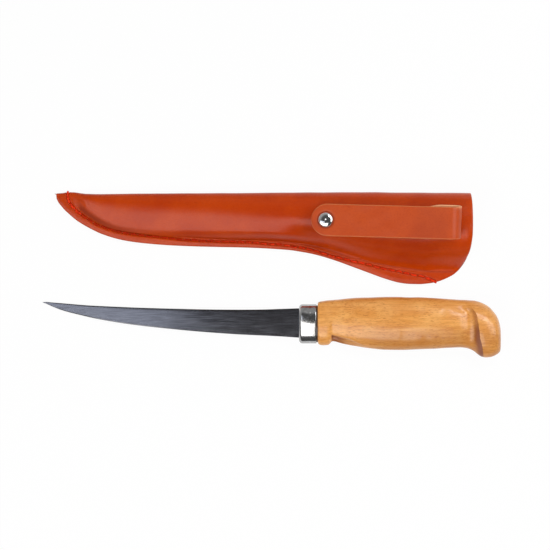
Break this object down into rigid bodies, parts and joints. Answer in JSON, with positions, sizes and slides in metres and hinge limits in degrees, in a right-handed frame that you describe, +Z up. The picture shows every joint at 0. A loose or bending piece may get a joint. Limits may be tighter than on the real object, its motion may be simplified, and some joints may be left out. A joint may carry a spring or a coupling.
{
  "type": "fillet knife with sheath",
  "caption": "Fillet knife with a slim trailing-point blade, polished ferrule and carved wooden handle, beside its stitched leather sheath with a snap belt loop.",
  "frame": {"origin": "centre of the whole part's box in plan, on the floor that knife and sheath lie on", "axes": "+X from the blade's point to the butt, +Y from the knife towards the sheath's folded edge, +Z up"},
  "size_m": [0.2712, 0.0984, 0.0354],
  "materials": {
    "blade_steel": "fine lengthwise satin",
    "ferrule_metal": "polished",
    "handle_wood": "oiled birch",
    "bedding": "cast resin",
    "sheath_leather": "smooth, waxed",
    "strap_leather": "smooth, waxed",
    "thread": "waxed thread",
    "snap_plating": "polished",
    "snap_steel": "plain"
  },
  "bodies": {
    "sheath": {"sheath_leather": "sheath_leather", "seam_thread_front": "thread", "seam_thread_back": "thread", "snap_post": "snap_plating", "snap_stud": "snap_plating"},
    "knife": {"blade": "blade_steel", "ferrule": "ferrule_metal", "handle": "handle_wood", "tang_epoxy": "bedding"},
    "loop_back": {"belt_loop_back": "strap_leather"},
    "loop_front": {"belt_loop_front": "strap_leather", "snap_cap": "snap_plating", "snap_socket": "snap_plating", "socket_spring": "snap_steel"}
  },
  "joints": [
    {"name": "knife_lift", "type": "slide", "parent": "sheath", "child": "knife", "axis": [0, 0, 1], "range_m": [0, 0.08]},
    {"name": "loop_swivel", "type": "hinge", "parent": "sheath", "child": "loop_back", "pos_m": [0.03254, 0.03195, 0.01773], "axis": [-0.0778, 0.0023, 0.997], "range_deg": [-15, 30]},
    {"name": "loop_opening", "type": "hinge", "parent": "loop_back", "child": "loop_front", "pos_m": [0.11155, 0.02965, 0.03002], "axis": [0.029, 0.9996, 0], "range_deg": [0, 150]}
  ]
}
